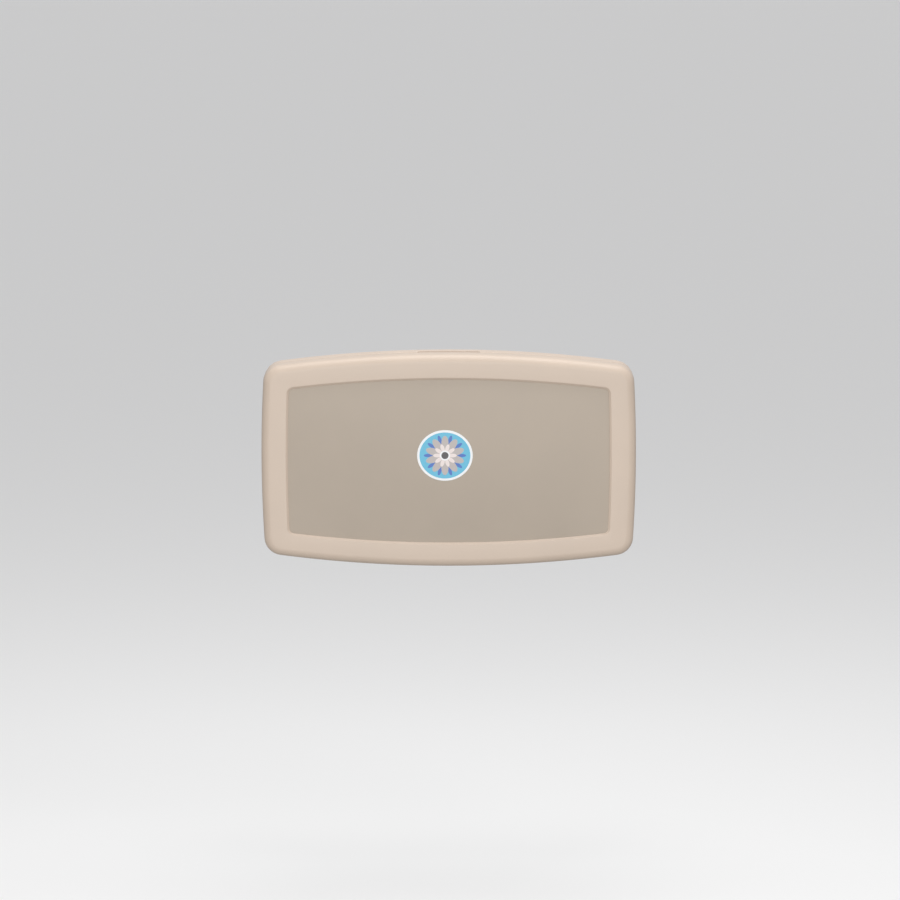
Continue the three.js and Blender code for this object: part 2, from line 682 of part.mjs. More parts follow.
// Rod with its piston, as one turned piece.
function gasRod() {
  const foot = FOOT_UNDER + FOOT_THICK + SEAT;
  const head = foot + GAS_ROD_LENGTH;
  const piston = GAS_RADIUS - GAS_WALL - RUNNING;
  const profile = [
    [0, foot], [GAS_ROD_RADIUS, foot], [GAS_ROD_RADIUS, head - PISTON_THICK],
    [piston, head - PISTON_THICK], [piston, head], [0, head],
  ];
  return new THREE.LatheGeometry(profile.map(([r, y]) => new THREE.Vector2(r, y)), 16)
    .translate(CRANK_X, 0, GAS_Z);
}

// Gas spring's cylinder: a tube with a gland below and a threaded stud above.
function gasCylinder() {
  const gland = GAS_ROD_RADIUS + RUNNING;
  const bore = GAS_RADIUS - GAS_WALL;
  const roof = GAS_TOP - GAS_GLAND;
  const profile = [
    [0, roof], [bore, roof], [bore, GAS_FOOT + GAS_GLAND], [gland, GAS_FOOT + GAS_GLAND], [gland, GAS_FOOT],
    [GAS_RADIUS - 1, GAS_FOOT], [GAS_RADIUS, GAS_FOOT + 1],
    [GAS_RADIUS, GAS_TOP - 1], [GAS_RADIUS - 1, GAS_TOP],
    [STUD_RADIUS, GAS_TOP], [STUD_RADIUS, GAS_TOP + STUD_LENGTH], [0, GAS_TOP + STUD_LENGTH],
  ];
  return new THREE.LatheGeometry(profile.map(([r, y]) => new THREE.Vector2(r, y)), 20)
    .translate(CRANK_X, 0, GAS_Z);
}

// Sheet-steel angle on the wall plate whose shelf reaches out to the gas spring.
function gasBracket(shelfFoot) {
  const back = SHEET + SEAT;
  const angle = polygon(
    [back, shelfFoot], [PANEL_BACK - 1, shelfFoot], [PANEL_BACK - 1, shelfFoot + SHEET],
    [back + SHEET, shelfFoot + SHEET], [back + SHEET, shelfFoot + BRACKET_HEIGHT],
    [back, shelfFoot + BRACKET_HEIGHT],
  );
  return sideProfile(angle, around(CRANK_X, BRACKET_WIDTH));
}

function gasBracketUpper() {
  return cut(gasBracket(GAS_TOP + SEAT), barY(STUD_RADIUS + SEAT, [GAS_FOOT, TOP], CRANK_X, GAS_Z, 16));
}

// Lower bracket: a saddle, open towards the front, that steadies the cylinder.
function gasBracketLower() {
  const radius = GAS_RADIUS + SEAT;
  const hole = barY(radius, [HINGE_Y, TOP], CRANK_X, GAS_Z, 24);
  const mouth = block(around(CRANK_X, 2 * radius), [HINGE_Y, TOP], [GAS_Z, DEPTH]);
  return cut(gasBracket(GAS_FOOT + SADDLE_UP), hole, mouth);
}

function gasNut() {
  const foot = GAS_TOP + SHEET + 2 * SEAT;
  const hex = barY(NUT_RADIUS, [foot, foot + NUT_HEIGHT], CRANK_X, GAS_Z, 6);
  return cut(hex, barY(STUD_RADIUS + SEAT, [GAS_FOOT, TOP], CRANK_X, GAS_Z, 16));
}

// Liner bin behind the housing, flanged round its mouth.
function dispenserBin() {
  const mouth = PANEL_BACK - SEAT;
  const rows = [BIN_FOOT, BIN_FOOT + BIN_HEIGHT];
  const grown = (by) => [around(0, BIN_WIDTH + 2 * by), [rows[0] - by, rows[1] + by]];
  const tub = block(...grown(BIN_WALL), [BIN_BACK, mouth]);
  const flange = block(...grown(BIN_WALL + BIN_FLANGE), [mouth - BIN_WALL, mouth]);
  return cut(joined(tub, flange), block(...grown(0), [BIN_BACK + BIN_WALL, DEPTH]));
}

// Sliding cover with an oval slot for the liners and three grip ribs.
function dispenserCover() {
  const middle = COVER_FOOT + COVER_HEIGHT / 2;
  const outline = roundedRectangle(COVER_WIDTH, COVER_HEIGHT, WALL, 0, middle);
  const sheet = plate(outline, [COVER_BACK, COVER_FRONT], 3);
  const slot = plate(roundedRectangle(SLOT_WIDTH, SLOT_HEIGHT, SLOT_HEIGHT / 2, 0, middle), [0, DEPTH], 6);
  const firstRib = middle - SLOT_HEIGHT / 2 - 2 * GRIP_PITCH;
  const ribs = Array.from({ length: GRIP_RIBS }, (_, i) => block(
    around(0, GRIP_WIDTH),
    around(firstRib - i * GRIP_PITCH, GRIP_RIB),
    [COVER_BACK + 1, COVER_FRONT + GRIP_RIB],
  ));
  return cut(joined(sheet, ...ribs), slot);
}

// Rail with a lip over the cover's edge.
function coverRail(side) {
  const inner = side * (COVER_WIDTH / 2 + RUNNING);
  const outer = inner + side * RAIL_WIDTH;
  const lip = inner - side * RAIL_LIP;
  const back = HOUSING_FRONT + SEAT;
  const under = COVER_FRONT + RUNNING;
  const front = under + RAIL_LIP_THICK;
  const section = polygon(
    [inner, back], [outer, back], [outer, front], [lip, front], [lip, under], [inner, under],
  );
  return planProfile(section, [RAIL_FOOT, RAIL_TOP]);
}

// Bar between the rails' feet that the closed cover rests on.
function coverStop() {
  const half = COVER_WIDTH / 2 + RUNNING + RAIL_WIDTH;
  const top = RAIL_FOOT - SEAT;
  return block([-half, half], [top - STOP_HEIGHT, top], [HOUSING_FRONT + SEAT, COVER_FRONT]);
}

// Hook in its pocket, drawn in front view for the right side.
function bagHook(side) {
  const base = SIDE - HOOK_POCKET_DEPTH + SEAT;
  const front = base + HOOK_THICK;
  const tip = front + HOOK_THROAT;
  const outer = tip + HOOK_THICK;
  const top = (HOOK_POCKET_Y[0] + HOOK_POCKET_Y[1] + HOOK_BASE_HEIGHT) / 2;
  const foot = top - HOOK_BASE_HEIGHT;
  const bend = foot + HOOK_THICK + HOOK_THROAT / 2;
  const middle = (front + tip) / 2;
  const outline = new THREE.Shape()
    .moveTo(base, top).lineTo(base, bend)
    .absarc(middle, bend, middle - base, Math.PI, 2 * Math.PI)
    .lineTo(outer, foot + HOOK_TIP).lineTo(tip, foot + HOOK_TIP).lineTo(tip, bend)
    .absarc(middle, bend, HOOK_THROAT / 2, 2 * Math.PI, Math.PI, true)
    .lineTo(front, top);
  const middleZ = (HOOK_POCKET_Z[0] + HOOK_POCKET_Z[1]) / 2;
  const hook = plate(outline, around(middleZ, HOOK_WIDTH), 8);
  return side > 0 ? hook : hook.rotateY(Math.PI).translate(0, 0, 2 * middleZ);
}

// Flat steel arm from the bed leaf, round under the tray and up behind the panel.
function bedArm(side) {
  const leafFace = BED_LEAF_Z + SHEET + SEAT;
  const foot = HINGE_Y + KNUCKLE_RADIUS;
  const floor = SHELL_FLOOR - SEAT;
  const section = polygon(
    [leafFace, foot], [floor, foot], [floor, ARM_TOP], [floor - ARM_THICK, ARM_TOP],
    [floor - ARM_THICK, foot + ARM_THICK], [leafFace + ARM_THICK, foot + ARM_THICK],
    [leafFace + ARM_THICK, foot + ARM_FOOT], [leafFace, foot + ARM_FOOT],
  );
  return sideProfile(section, around(side * ARM_X, ARM_WIDTH));
}

const BOWL_FLOOR = BED_BACK + BOWL_DEPTH;
const BUCKLE_FRONT = BOWL_FLOOR - SEAT;
const BUCKLE_BACK = BUCKLE_FRONT - BUCKLE_THICK;
const BUCKLE_Z = (BUCKLE_FRONT + BUCKLE_BACK) / 2;
const TRAY_UNDER_BAR = BED_BACK + WALL + bowlDepth(STRAP_SLOT_IN + STRAP_BAR_RADIUS / 2);
const STRAP_BAR_Z = TRAY_UNDER_BAR + STRAP_BAR_RADIUS + SEAT;
const BUCKLE_END = BUCKLE_LENGTH / 2 + TONGUE_GRIP / 2;

// Middle line of one strap half as (z, y): out of its slot, down the bowl and up to the buckle.
function strapLine(upper) {
  const lift = STRAP_THICK / 2 + 3 * SEAT;
  const mouth = upper ? BOWL_TOP : -BOWL_FOOT;
  const sign = upper ? 1 : -1;
  const slot = mouth - STRAP_SLOT_IN;
  const last = BUCKLE_END + BUCKLE_THICK;
  const line = [[STRAP_BAR_Z - STRAP_BAR_RADIUS - SEAT, sign * slot]];
  for (let i = 0; i <= STRAP_STEPS; i += 1) {
    const y = slot + ((last - slot) * i) / STRAP_STEPS;
    line.push([BED_BACK + bowlDepth(mouth - y) - lift, sign * y]);
  }
  line.push([BUCKLE_Z, sign * (BUCKLE_END + 2 * STRAP_THICK)]);
  line.push([BUCKLE_Z, sign * (BUCKLE_END + SEAT)]);
  return line.map(([z, y]) => new THREE.Vector2(z, y));
}

// A line given a thickness, mitred at its bends.
function ribbonShape(line, thickness) {
  const normals = line.slice(1).map((p, i) => {
    const along = p.clone().sub(line[i]).normalize();
    return new THREE.Vector2(-along.y, along.x);
  });
  const offsets = line.map((p, i) => {
    const before = normals[Math.max(i - 1, 0)];
    const after = normals[Math.min(i, normals.length - 1)];
    const mitre = before.clone().add(after);
    return mitre.multiplyScalar(thickness / 2 / (1 + before.dot(after)));
  });
  const left = line.map((p, i) => p.clone().add(offsets[i]));
  const right = line.map((p, i) => p.clone().sub(offsets[i]));
  return new THREE.Shape([...right, ...left.reverse()]);
}

const strap = (upper) => sideProfile(ribbonShape(strapLine(upper), STRAP_THICK), around(0, STRAP_WIDTH));

const strapBar = (y) => (
  barX(STRAP_BAR_RADIUS, around(0, STRAP_WIDTH + 4 * STRAP_BAR_RADIUS), y, STRAP_BAR_Z, 16)
);

const BUCKLE_MIDDLE = -TONGUE_GRIP / 2;
const BUCKLE_TOP = BUCKLE_MIDDLE + BUCKLE_LENGTH / 2;
const BUTTON_Y = BUCKLE_MIDDLE - BUCKLE_LENGTH / 4;

// Buckle body with a mouth for the tongue and a well for the button.
function buckleSocket() {
  const outline = roundedRectangle(BUCKLE_WIDTH, BUCKLE_LENGTH, BUCKLE_ROUND, 0, BUCKLE_MIDDLE);
  const body = plate(outline, [BUCKLE_BACK, BUCKLE_FRONT], 4);
  const mouth = block(
    around(0, TONGUE_WIDTH + 2 * RUNNING),
    [BUCKLE_TOP - TONGUE_LENGTH - RUNNING, HEIGHT],
    around(BUCKLE_Z, TONGUE_THICK + 2 * RUNNING),
  );
  const well = block(
    around(0, BUTTON_WIDTH + 2 * RUNNING),
    around(BUTTON_Y, BUTTON_LENGTH + 2 * RUNNING),
    [0, BUCKLE_BACK - BUTTON_PROUD + BUTTON_HEIGHT + BUTTON_TRAVEL + RUNNING],
  );
  return cut(body, mouth, well);
}

function buckleTongue() {
  const gripMiddle = BUCKLE_TOP + (TONGUE_GRIP + SEAT) / 2;
  const outline = roundedRectangle(BUCKLE_WIDTH, TONGUE_GRIP - SEAT, BUCKLE_ROUND / 2, 0, gripMiddle);
  const grip = plate(outline, [BUCKLE_BACK + 1, BUCKLE_FRONT - 1], 4);
  const blade = block(
    around(0, TONGUE_WIDTH),
    [BUCKLE_TOP - TONGUE_LENGTH, gripMiddle],
    around(BUCKLE_Z, TONGUE_THICK),
  );
  return joined(grip, blade);
}

function buckleButton() {
  const back = BUCKLE_BACK - BUTTON_PROUD;
  const outline = roundedRectangle(BUTTON_WIDTH, BUTTON_LENGTH, 3, 0, BUTTON_Y);
  return plate(outline, [back, back + BUTTON_HEIGHT], 3);
}

// The scene graph: wall unit, bed and the small moving pieces.
function named(name, geometry, material) {
  const mesh = new THREE.Mesh(geometry, material);
  mesh.name = name;
  return mesh;
}

function group(...meshes) {
  return new THREE.Group().add(...meshes);
}

const sides = [["left", -1], ["right", 1]];

const wallUnit = group(
  named("rear_housing", rearHousing(), SAND_PLASTIC),
  named("wall_plate", wallPlate(), SHEET_STEEL),
  named("hinge_leaf_wall", hingeLeafWall(), SHEET_STEEL),
  named("hinge_rod", hingeRod(), BRIGHT_STEEL),
  ...sides.map(([word, side]) => named(`rod_cap_${word}`, rodCap(side), BRIGHT_STEEL)),
  ...standoffPlaces().map(([x, y], i) => named(`standoff_${i + 1}`, standoff(x, y), SHEET_STEEL)),
  ...standoffPlaces().map(([x, y], i) => named(`housing_screw_${i + 1}`, housingScrew(x, y), BRIGHT_STEEL)),
  ...bumperPlaces().map(([x, y], i) => named(`bumper_${i + 1}`, bumper(x, y), DARK_RUBBER)),
  ...sides.map(([word, side]) => named(`bag_hook_${word}`, bagHook(side), GREY_PLASTIC)),
  named("dispenser_bin", dispenserBin(), GREY_PLASTIC),
  ...sides.map(([word, side]) => named(`cover_rail_${word}`, coverRail(side), GREY_PLASTIC)),
  named("cover_stop", coverStop(), GREY_PLASTIC),
  named("gas_cylinder", gasCylinder(), BLACK_PAINT),
  named("gas_bracket_upper", gasBracketUpper(), SHEET_STEEL),
  named("gas_bracket_lower", gasBracketLower(), SHEET_STEEL),
  named("gas_nut", gasNut(), BRIGHT_STEEL),
);

const cover = group(named("dispenser_cover", dispenserCover(), SAND_PLASTIC));

const plunger = group(
  named("gas_rod", gasRod(), BRIGHT_STEEL),
  named("plunger_foot", plungerFoot(), SHEET_STEEL),
);

const bed = group(
  named("bed_shell", bedShell(), SAND_PLASTIC),
  named("front_panel", frontPanel(), TAUPE_PANEL),
  named("front_label", frontLabel(), BLUE_LABEL),
  named("bed_tray", bedTray(), SAND_PLASTIC),
  named("hinge_leaf_bed", hingeLeafBed(), SHEET_STEEL),
  named("crank_lever", crankLever(), SHEET_STEEL),
  ...sides.map(([word, side]) => named(`bed_arm_${word}`, bedArm(side), SHEET_STEEL)),
  named("strap_front", strap(true), WEBBING),
  named("strap_rear", strap(false), WEBBING),
  ...Object.entries(STRAP_SLOT_ROWS).map(([name, y]) => named(`${name}_bar`, strapBar(y), BRIGHT_STEEL)),
  named("buckle_socket", buckleSocket(), GREY_PLASTIC),
  named("buckle_tongue", buckleTongue(), GREY_PLASTIC),
);

const button = group(named("buckle_button", buckleButton(), RED_PLASTIC));

const elevation = group(wallUnit, cover, plunger, bed, button);
elevation.rotation.x = Math.PI / 2;

export default new THREE.Group().add(elevation);
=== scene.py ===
# %% [markdown]
# # A fold-down changing station
# The real object hangs on a washroom wall. A bed with a bowed front shell folds down on a long hinge, and a
# gas spring slows it. The measured pieces come in first as a frame: new pieces then take their place exactly,
# and the frame's box is kept.

# %% Load the measured frame
import math
import bpy
from mathutils import Matrix, Vector


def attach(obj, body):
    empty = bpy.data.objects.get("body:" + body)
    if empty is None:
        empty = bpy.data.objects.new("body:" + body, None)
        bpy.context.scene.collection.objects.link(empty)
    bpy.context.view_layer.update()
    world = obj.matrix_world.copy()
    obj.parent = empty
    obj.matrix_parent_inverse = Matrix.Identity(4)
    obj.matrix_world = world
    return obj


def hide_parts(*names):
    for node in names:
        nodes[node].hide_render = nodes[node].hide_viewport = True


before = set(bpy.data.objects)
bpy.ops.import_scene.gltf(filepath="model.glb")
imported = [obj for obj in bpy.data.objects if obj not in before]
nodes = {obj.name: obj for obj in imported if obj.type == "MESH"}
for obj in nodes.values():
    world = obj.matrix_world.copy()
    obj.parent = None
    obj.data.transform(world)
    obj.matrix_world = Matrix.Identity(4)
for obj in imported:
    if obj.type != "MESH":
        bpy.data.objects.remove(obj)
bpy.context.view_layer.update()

# %% [markdown]
# ## Points and outlines
# The station is easiest to think of as a front elevation in millimetres: across, up, and out from the wall.
# Its outline is four shallow arcs joined by four corner arcs. A curve object could draw it, but exact arcs in
# code keep every ring of a moulding with the same number of points, so the rings can be joined one to one.

# %% Elevation points and the bowed outline
MM = 0.001
WIDTH, HEIGHT, DEPTH = 892.0, 511.0, 102.0
PARTING, BED_BACK = 54.0, 46.0
SEAT = 0.3


def place(across, up, out):
    """A point of the elevation, in millimetres, as a point of the frame in metres."""
    return Vector((across, -out, up)) * MM


def outline_form(width, height, middle, long_bow, side_bow, corner):
    """The sizes of one bowed outline."""
    return {"width": width, "height": height, "middle": middle,
            "long": long_bow, "side": side_bow, "corner": corner}


BODY = outline_form(WIDTH, HEIGHT, 0.0, 3070.0, 3220.0, 45.0)
PANEL = outline_form(764.0, 391.0, 0.0, 3090.0, 4590.0, 12.0)
BOWL = outline_form(744.0, 377.5, 22.75, 3070.0, 3220.0, 130.0)
ARC_STEPS = {"long": 44, "side": 24, "corner": 10}


def bowed_outline(form, inset):
    """Points (across, up) of the outline, moved evenly inwards, anticlockwise from the lower right."""
    long_radius, side_radius = form["long"] - inset, form["side"] - inset
    corner = max(form["corner"] - inset, 2.0)
    long_drop = long_radius - (form["height"] / 2 - inset)
    side_drop = side_radius - (form["width"] / 2 - inset)
    apart = math.hypot(long_drop, side_drop)
    to_long, to_side = long_radius - corner, side_radius - corner
    along = (to_long ** 2 - to_side ** 2 + apart ** 2) / (2 * apart)
    across = math.sqrt(to_long ** 2 - along ** 2)
    cx = (across * long_drop - along * side_drop) / apart
    cy = (along * long_drop + across * side_drop) / apart - long_drop
    long_turn, side_turn = math.atan2(cy + long_drop, cx), math.atan2(cy, cx + side_drop)
    half = math.pi
    arcs = (
        (-side_drop, 0, side_radius, -side_turn, side_turn, "side"),
        (cx, cy, corner, side_turn, long_turn, "corner"),
        (0, -long_drop, long_radius, long_turn, half - long_turn, "long"),
        (-cx, cy, corner, half - long_turn, half - side_turn, "corner"),
        (side_drop, 0, side_radius, half - side_turn, half + side_turn, "side"),
        (-cx, -cy, corner, half + side_turn, half + long_turn, "corner"),
        (0, long_drop, long_radius, half + long_turn, 2 * half - long_turn, "long"),
        (cx, -cy, corner, 2 * half - long_turn, 2 * half - side_turn, "corner"),
    )
    points = []
    for x, y, radius, start, end, kind in arcs:
        steps = ARC_STEPS[kind]
        for i in range(steps):
            turn = start + (end - start) * i / steps
            points.append((x + radius * math.cos(turn), y + radius * math.sin(turn) + form["middle"]))
    return points


print("outline points", len(bowed_outline(BODY, 0)))

# %% [markdown]
# ## Moulded shells
# A moulding is one section carried round the outline. By hand it is a circle whose loop is extruded and moved
# once for every point of the section, and whose two ends are filled at last. That gives even rings, which
# shade smoothly, where cutting rounds into a block would leave uneven slivers.

# %% Helpers for mouldings


def edit(piece):
    """Selects a piece alone and enters edit mode."""
    bpy.ops.object.select_all(action="DESELECT")
    piece.select_set(True)
    bpy.context.view_layer.objects.active = piece
    bpy.ops.object.mode_set(mode="EDIT")


def done():
    bpy.ops.object.mode_set(mode="OBJECT")


def rename(piece, name):
    piece.name = piece.data.name = name
    return piece


def move_loop(piece, order, ring):
    for vertex, point in zip(order, ring):
        piece.data.vertices[vertex].co = point


def extrude_loop(piece, order):
    """Extrudes the selected loop and gives its new vertices in the same order."""
    before = len(piece.data.vertices)
    edit(piece)
    bpy.ops.mesh.extrude_edges_move()
    done()
    place_of = {vertex: i for i, vertex in enumerate(order)}
    fresh = list(order)
    for link in piece.data.edges:
        low, high = sorted(link.vertices)
        if low in place_of and high >= before:
            fresh[place_of[low]] = high
    return fresh


def moulding(name, stations):
    """A closed moulding through stations of (form, inset, out)."""
    rings = [[place(x, up, out) for x, up in bowed_outline(form, inset)] for form, inset, out in stations]
    bpy.ops.object.select_all(action="DESELECT")
    bpy.ops.mesh.primitive_circle_add(vertices=len(rings[0]), radius=0.1)
    piece = rename(bpy.context.object, name)
    order = list(range(len(rings[0])))
    move_loop(piece, order, rings[0])
    for ring in rings[1:]:
        order = extrude_loop(piece, order)
        move_loop(piece, order, ring)
    edit(piece)
    bpy.ops.mesh.select_all(action="SELECT")
    bpy.ops.mesh.fill_holes(sides=0)
    bpy.ops.mesh.select_all(action="SELECT")
    bpy.ops.mesh.normals_make_consistent(inside=False)
    done()
    return piece


def round_stations(form, inset, out, radius, start, end, steps):
    """Stations along an arc of the section; turns in degrees from straight inwards."""
    turns = [math.radians(start + (end - start) * i / steps) for i in range(steps + 1)]
    return [(form, inset + radius * math.cos(t), out + radius * math.sin(t)) for t in turns]


def smooth(piece, angle=35):
    """Smooth shading, with edges sharper than the angle left crisp."""
    bpy.ops.object.select_all(action="DESELECT")
    piece.select_set(True)
    bpy.context.view_layer.objects.active = piece
    bpy.ops.object.shade_smooth_by_angle(angle=math.radians(angle))


def join_pieces(pieces, name):
    """Joins pieces into one."""
    bpy.ops.object.select_all(action="DESELECT")
    for piece in pieces:
        piece.select_set(True)
    bpy.context.view_layer.objects.active = pieces[0]
    bpy.ops.object.join()
    return rename(pieces[0], name)


def finish_piece(piece, body, material, slot, *replaced):
    """Gives a piece its finish and its body, and hides the measured pieces that it stands for."""
    smooth(piece)
    piece.data.materials.clear()
    piece.data.materials.append(material)
    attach(piece, body)
    if replaced:
        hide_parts(*replaced)
    print(piece.name, len(piece.data.polygons), "faces on", body)
    return piece


# %% [markdown]
# ## Finishes
# Moulded plastic is never one flat colour: it has a fine grain, faint clouding and a little change of gloss.
# One node group makes that for every plastic and print. Metal and webbing have groups of their own. The first two
# read Object coordinates and the webbing its UV map, so a pattern stays on its piece when the piece moves.

# %% Node group helpers


def new_group(name, inputs, outputs):
    """An empty shader node group with float or colour sockets."""
    group = bpy.data.node_groups.new(name, "ShaderNodeTree")
    for socket, kind, value in inputs:
        made = group.interface.new_socket(socket, in_out="INPUT", socket_type="NodeSocket" + kind)
        made.default_value = value
    for socket, kind in outputs:
        group.interface.new_socket(socket, in_out="OUTPUT", socket_type="NodeSocket" + kind)
    return group, group.nodes.new("NodeGroupInput"), group.nodes.new("NodeGroupOutput")


def add_node(tree, kind, links=None, **values):
    """A node with its settings and links; a link's key is the input's name or number."""
    node = tree.nodes.new("ShaderNode" + kind)
    for key, value in values.items():
        setattr(node, key, value)
    for key, source in (links or {}).items():
        if isinstance(source, bpy.types.NodeSocket):
            tree.links.new(source, node.inputs[key])
        else:
            node.inputs[key].default_value = source
    return node


def math_node(tree, operation, *values, clamp=False):
    return add_node(tree, "Math", dict(enumerate(values)), operation=operation, use_clamp=clamp).outputs[0]


def mix_colour(tree, factor, low, high):
    node = add_node(tree, "Mix", {0: factor, 6: low, 7: high}, data_type="RGBA")
    return node.outputs[2]


def noise(tree, vector, scale, detail=2.0):
    return add_node(tree, "TexNoise", {"Vector": vector, "Scale": scale, "Detail": detail}).outputs["Fac"]


# %% Moulded plastic
PLASTIC_INPUTS = (
    ("Colour", "Color", (0.8, 0.8, 0.8, 1)), ("Shade", "Color", (0.7, 0.7, 0.7, 1)),
    ("Gloss", "Float", 0.5), ("Grain Size", "Float", 900.0),
)
plastic_group, inside, outside = new_group(
    "moulded_plastic", PLASTIC_INPUTS, (("Colour", "Color"), ("Roughness", "Float"), ("Height", "Float")))
coordinates = add_node(plastic_group, "TexCoord").outputs["Object"]
clouds = noise(plastic_group, coordinates, 7.0, 3.0)
grain = noise(plastic_group, coordinates, inside.outputs["Grain Size"])
speckle = math_node(plastic_group, "MULTIPLY_ADD", grain, 0.35, clouds)
cloud_mask = math_node(plastic_group, "MULTIPLY_ADD", speckle, 1.6, -0.62, clamp=True)
tint = mix_colour(plastic_group, cloud_mask, inside.outputs["Shade"], inside.outputs["Colour"])
gloss = math_node(plastic_group, "MULTIPLY_ADD", clouds, 0.16, -0.08)
rough = math_node(plastic_group, "ADD", inside.outputs["Gloss"], gloss)
plastic_group.links.new(tint, outside.inputs["Colour"])
plastic_group.links.new(rough, outside.inputs["Roughness"])
plastic_group.links.new(grain, outside.inputs["Height"])


def srgb(red, green, blue):
    """A colour given by 0 to 255 values, as the linear colour that a shader takes."""
    def linear(value):
        value /= 255
        return value / 12.92 if value <= 0.04045 else ((value + 0.055) / 1.055) ** 2.4
    return (linear(red), linear(green), linear(blue), 1.0)


def shaded(colour, amount):
    return tuple(c * amount for c in colour[:3]) + (1.0,)


def new_material(name):
    material = bpy.data.materials.new(name)
    material.use_nodes = True
    tree = material.node_tree
    return material, tree, tree.nodes["Principled BSDF"]


def group_node(tree, group, values):
    node = tree.nodes.new("ShaderNodeGroup")
    node.node_tree = group
    for key, value in values.items():
        node.inputs[key].default_value = value
    return node


def connect_finish(tree, shader, effect, bump, distance=0.0002):
    """Joins a finish group's colour, roughness and height to the material's own shader."""
    tree.links.new(effect.outputs["Colour"], shader.inputs["Base Color"])
    tree.links.new(effect.outputs["Roughness"], shader.inputs["Roughness"])
    relief = add_node(tree, "Bump", {"Height": effect.outputs["Height"]})
    relief.inputs["Strength"].default_value = bump
    relief.inputs["Distance"].default_value = distance
    tree.links.new(relief.outputs["Normal"], shader.inputs["Normal"])


def plastic(name, colour, gloss, grain_size=900.0, bump=0.25, shade=0.93):
    material, tree, shader = new_material(name)
    effect = group_node(tree, plastic_group, {
        "Colour": colour, "Shade": shaded(colour, shade), "Gloss": gloss, "Grain Size": grain_size})
    connect_finish(tree, shader, effect, bump)
    return material


sand_plastic = plastic("sand_plastic", srgb(211, 193, 176), 0.44)
taupe_panel = plastic("taupe_panel", srgb(184, 171, 156), 0.62, 1400.0, 0.4)
grey_plastic = plastic("grey_plastic", srgb(141, 143, 146), 0.5)
red_plastic = plastic("red_plastic", srgb(178, 48, 42), 0.38)
dull_rubber = plastic("dull_rubber", srgb(52, 52, 54), 0.82, 1600.0, 0.5, 0.8)
white_print = plastic("white_print", srgb(240, 242, 243), 0.34, 600.0, 0.05, 0.97)
blue_print = plastic("blue_print", srgb(95, 185, 216), 0.34, 600.0, 0.05, 0.96)
grey_print = plastic("grey_print", srgb(186, 178, 175), 0.34, 600.0, 0.05, 0.95)
rose_print = plastic("rose_print", srgb(233, 220, 216), 0.34, 600.0, 0.05, 0.97)
dark_print = plastic("dark_print", srgb(74, 72, 74), 0.34, 600.0, 0.05, 0.9)
deep_print = plastic("deep_print", srgb(70, 112, 190), 0.34, 600.0, 0.05, 0.95)
print("plastics ready")

# %% [markdown]
# Sheet steel gets fine streaks along one direction. Stretching the coordinates before a noise texture is
# enough: an image of brushed metal would show its repeat and could not be turned so easily.

# %% Metal
metal_group, inside, outside = new_group(
    "streaked_metal",
    (("Colour", "Color", (0.6, 0.6, 0.6, 1)), ("Gloss", "Float", 0.35), ("Streak", "Float", 0.12)),
    (("Colour", "Color"), ("Roughness", "Float"), ("Height", "Float")))
coordinates = add_node(metal_group, "TexCoord").outputs["Object"]
stretched = add_node(metal_group, "Mapping", {"Vector": coordinates, "Scale": (12.0, 900.0, 900.0)})
streaks = noise(metal_group, stretched.outputs[0], 1.0, 3.0)
clouds = noise(metal_group, coordinates, 24.0, 2.0)
centred = math_node(metal_group, "SUBTRACT", streaks, 0.5)
rough = math_node(metal_group, "MULTIPLY_ADD", centred, inside.outputs["Streak"], inside.outputs["Gloss"])
cloud_mask = math_node(metal_group, "MULTIPLY_ADD", clouds, 1.4, -0.25, clamp=True)
dark = mix_colour(metal_group, 0.2, inside.outputs["Colour"], (0.05, 0.05, 0.06, 1))
tint = mix_colour(metal_group, cloud_mask, dark, inside.outputs["Colour"])
metal_group.links.new(tint, outside.inputs["Colour"])
metal_group.links.new(rough, outside.inputs["Roughness"])
metal_group.links.new(streaks, outside.inputs["Height"])


def metal(name, colour, gloss, streak=0.2, bump=0.08):
    material, tree, shader = new_material(name)
    effect = group_node(tree, metal_group, {"Colour": colour, "Gloss": gloss, "Streak": streak})
    connect_finish(tree, shader, effect, bump, 0.0001)
    shader.inputs["Metallic"].default_value = 1.0
    return material


sheet_steel = metal("sheet_steel", srgb(176, 180, 184), 0.38)
bright_steel = metal("bright_steel", srgb(214, 216, 220), 0.2, 0.1, 0.03)
black_enamel = plastic("black_enamel", srgb(34, 35, 38), 0.3, 700.0, 0.08, 0.85)
print("metals ready")

# %% [markdown]
# Webbing is woven: ribs run across the strap and a finer thread runs along it. The strap has its own UV map,
# measured in metres, so two wave textures can follow it round every bend.

# %% Webbing
webbing_group, inside, outside = new_group(
    "woven_webbing", (("Colour", "Color", (0.2, 0.2, 0.2, 1)), ("Gloss", "Float", 0.85)),
    (("Colour", "Color"), ("Roughness", "Float"), ("Height", "Float")))
strip = add_node(webbing_group, "UVMap").outputs["UV"]
ribs = add_node(webbing_group, "TexWave", {"Vector": strip, "Scale": 150.0, "Distortion": 0.3},
                bands_direction="Y").outputs["Fac"]
threads = add_node(webbing_group, "TexWave", {"Vector": strip, "Scale": 320.0, "Distortion": 0.4},
                   bands_direction="X").outputs["Fac"]
weave = math_node(webbing_group, "MULTIPLY_ADD", threads, 0.5, ribs)
weave_mask = math_node(webbing_group, "MULTIPLY", weave, 0.66, clamp=True)
dark = mix_colour(webbing_group, 0.55, inside.outputs["Colour"], (0.01, 0.01, 0.012, 1))
tint = mix_colour(webbing_group, weave_mask, dark, inside.outputs["Colour"])
rough = math_node(webbing_group, "MULTIPLY_ADD", threads, 0.08, inside.outputs["Gloss"])
webbing_group.links.new(tint, outside.inputs["Colour"])
webbing_group.links.new(rough, outside.inputs["Roughness"])
webbing_group.links.new(weave, outside.inputs["Height"])
webbing, tree, shader = new_material("webbing")
